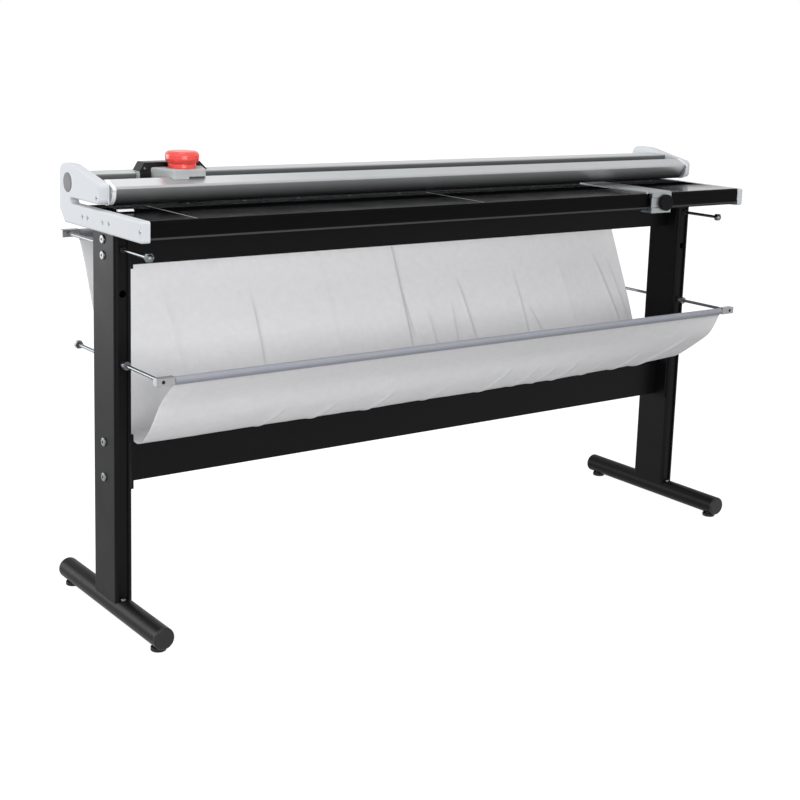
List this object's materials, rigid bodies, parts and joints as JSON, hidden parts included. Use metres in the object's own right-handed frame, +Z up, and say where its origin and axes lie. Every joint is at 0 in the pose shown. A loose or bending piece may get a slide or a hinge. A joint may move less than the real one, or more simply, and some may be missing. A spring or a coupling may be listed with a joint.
{
  "type": "paper trimmer",
  "caption": "Large-format rotary paper trimmer on a two-column stand with a sliding cutting head, a side stop and a hung cloth that catches offcuts.",
  "frame": {"origin": "on the floor, midway between the two columns and between the front and back ends of the feet", "axes": "+X along the cut, to the right of a person who stands in front; +Y away from that person; +Z up"},
  "size_m": [1.762, 0.486, 1.016],
  "materials": {
    "black_powder_coat": "satin black powder coat on steel",
    "black_plastic": "moulded black plastic, fine grain",
    "pad_plastic": "hard black plastic pad on a threaded stud",
    "zinc_steel": "bright zinc plated steel",
    "bright_rod": "bright drawn steel",
    "block_alloy": "clear anodised aluminium",
    "black_screw": "black oxide steel",
    "basket_cloth": "pale grey woven cloth with grey sewn sleeves",
    "black_anodised": "satin black aluminium profile",
    "black_laminate": "black laminate on board, semi-gloss",
    "white_inlay": "pale inlay line",
    "black_sheet": "black painted steel",
    "ground_steel": "ground hardened steel",
    "bracket_paint": "pale grey satin paint on cast aluminium",
    "dark_cap_plastic": "dark grey plastic",
    "silver_anodised": "silver anodised aluminium",
    "white_plastic": "white plastic",
    "clear_plastic": "clear plastic strip",
    "buffer_rubber": "black rubber",
    "carriage_black": "black moulded body",
    "housing_grey": "pale grey satin cover",
    "roller_plastic": "hard running plastic",
    "red_plastic": "red plastic",
    "stop_alloy": "satin anodised aluminium",
    "knob_black": "black plastic, knurled rim"
  },
  "bodies": {
    "stand_and_table": {"left_column": "black_powder_coat", "right_column": "black_powder_coat", "left_foot_tube": "black_powder_coat", "right_foot_tube": "black_powder_coat", "foot_tube_caps": "black_plastic", "foot_threaded_inserts": "zinc_steel", "column_base_screws": "zinc_steel", "upper_beam": "black_powder_coat", "lower_beam": "black_powder_coat", "beam_bolts": "zinc_steel", "lower_basket_rods": "bright_rod", "upper_basket_rods": "bright_rod", "rod_bushes": "black_plastic", "rod_end_nuts": "zinc_steel", "rod_collars": "zinc_steel", "front_basket_bar": "zinc_steel", "back_basket_bar": "zinc_steel", "bar_clamp_blocks": "block_alloy", "bar_clamp_screws": "black_screw", "catch_cloth": "basket_cloth", "table_front_profile": "black_anodised", "table_board": "black_laminate", "table_inlay_lines": "white_inlay", "table_base_tray": "black_sheet", "table_cross_ribs": "black_sheet", "counter_blade_bar": "black_sheet", "counter_blade": "ground_steel", "counter_blade_screws": "zinc_steel", "right_end_bracket": "bracket_paint", "left_end_bracket": "bracket_paint", "bracket_screws": "zinc_steel", "bracket_disc_caps": "dark_cap_plastic", "front_rail": "silver_anodised", "front_rail_end_caps": "white_plastic", "rear_rail": "silver_anodised", "clamp_strip": "clear_plastic", "clamp_strip_tab": "white_plastic", "carriage_end_buffers": "buffer_rubber"},
    "cutting_head": {"carriage_frame": "carriage_black", "carriage_housing": "housing_grey", "carriage_wiper_plate": "housing_grey", "carriage_screws": "zinc_steel", "roller_axles": "bright_rod", "blade_axle": "bright_rod", "blade_spring": "bright_rod", "red_knob": "red_plastic", "knob_stem": "zinc_steel"},
    "round_blade": {"cutting_blade": "ground_steel"},
    "roller_1": {"guide_roller_1": "roller_plastic"},
    "roller_2": {"guide_roller_2": "roller_plastic"},
    "roller_3": {"guide_roller_3": "roller_plastic"},
    "roller_4": {"guide_roller_4": "roller_plastic"},
    "side_stop": {"side_stop_plate": "stop_alloy", "side_stop_clamp": "stop_alloy"},
    "stop_knob": {"side_stop_knob": "knob_black"},
    "foot_1": {"levelling_foot_1": "pad_plastic"},
    "foot_2": {"levelling_foot_2": "pad_plastic"},
    "foot_3": {"levelling_foot_3": "pad_plastic"},
    "foot_4": {"levelling_foot_4": "pad_plastic"}
  },
  "joints": [
    {"name": "cutting_head_slide", "type": "slide", "parent": "stand_and_table", "child": "cutting_head", "axis": [1, 0, 0], "range_m": [-0.0995, 1.4445]},
    {"name": "round_blade_spin", "type": "hinge", "parent": "cutting_head", "child": "round_blade", "pos_m": [-0.68, 0.0455, 0.931], "axis": [0, 1, 0], "range_deg": [-165, 2380]},
    {"name": "roller_1_spin", "type": "hinge", "parent": "cutting_head", "child": "roller_1", "pos_m": [-0.741, -0.0095, 0.942], "axis": [0, 1, 0], "range_deg": [-1000, 14300]},
    {"name": "roller_2_spin", "type": "hinge", "parent": "cutting_head", "child": "roller_2", "pos_m": [-0.741, 0.054, 0.942], "axis": [0, 1, 0], "range_deg": [-1000, 14300]},
    {"name": "roller_3_spin", "type": "hinge", "parent": "cutting_head", "child": "roller_3", "pos_m": [-0.63, -0.0095, 0.942], "axis": [0, 1, 0], "range_deg": [-1000, 14300]},
    {"name": "roller_4_spin", "type": "hinge", "parent": "cutting_head", "child": "roller_4", "pos_m": [-0.63, 0.054, 0.942], "axis": [0, 1, 0], "range_deg": [-1000, 14300]},
    {"name": "side_stop_slide", "type": "slide", "parent": "stand_and_table", "child": "side_stop", "axis": [1, 0, 0], "range_m": [-1.3375, 0.2545]},
    {"name": "side_stop_knob_turn", "type": "hinge", "parent": "side_stop", "child": "stop_knob", "pos_m": [0.574, -0.235, 0.877], "axis": [0, 1, 0], "range_deg": [0, 720]},
    {"name": "levelling_foot_1_turn", "type": "hinge", "parent": "stand_and_table", "child": "foot_1", "pos_m": [-0.84, -0.215, 0], "axis": [0, 0, 1], "range_deg": [-360, 720]},
    {"name": "levelling_foot_2_turn", "type": "hinge", "parent": "stand_and_table", "child": "foot_2", "pos_m": [-0.84, 0.215, 0], "axis": [0, 0, 1], "range_deg": [-360, 720]},
    {"name": "levelling_foot_3_turn", "type": "hinge", "parent": "stand_and_table", "child": "foot_3", "pos_m": [0.84, -0.215, 0], "axis": [0, 0, 1], "range_deg": [-360, 720]},
    {"name": "levelling_foot_4_turn", "type": "hinge", "parent": "stand_and_table", "child": "foot_4", "pos_m": [0.84, 0.215, 0], "axis": [0, 0, 1], "range_deg": [-360, 720]}
  ],
  "couplings": [
    {"joint": "round_blade_spin", "follows": "cutting_head_slide", "rad_per_m": 28.571},
    {"joint": "roller_1_spin", "follows": "cutting_head_slide", "rad_per_m": 172.41},
    {"joint": "roller_2_spin", "follows": "cutting_head_slide", "rad_per_m": 172.41},
    {"joint": "roller_3_spin", "follows": "cutting_head_slide", "rad_per_m": 172.41},
    {"joint": "roller_4_spin", "follows": "cutting_head_slide", "rad_per_m": 172.41}
  ]
}
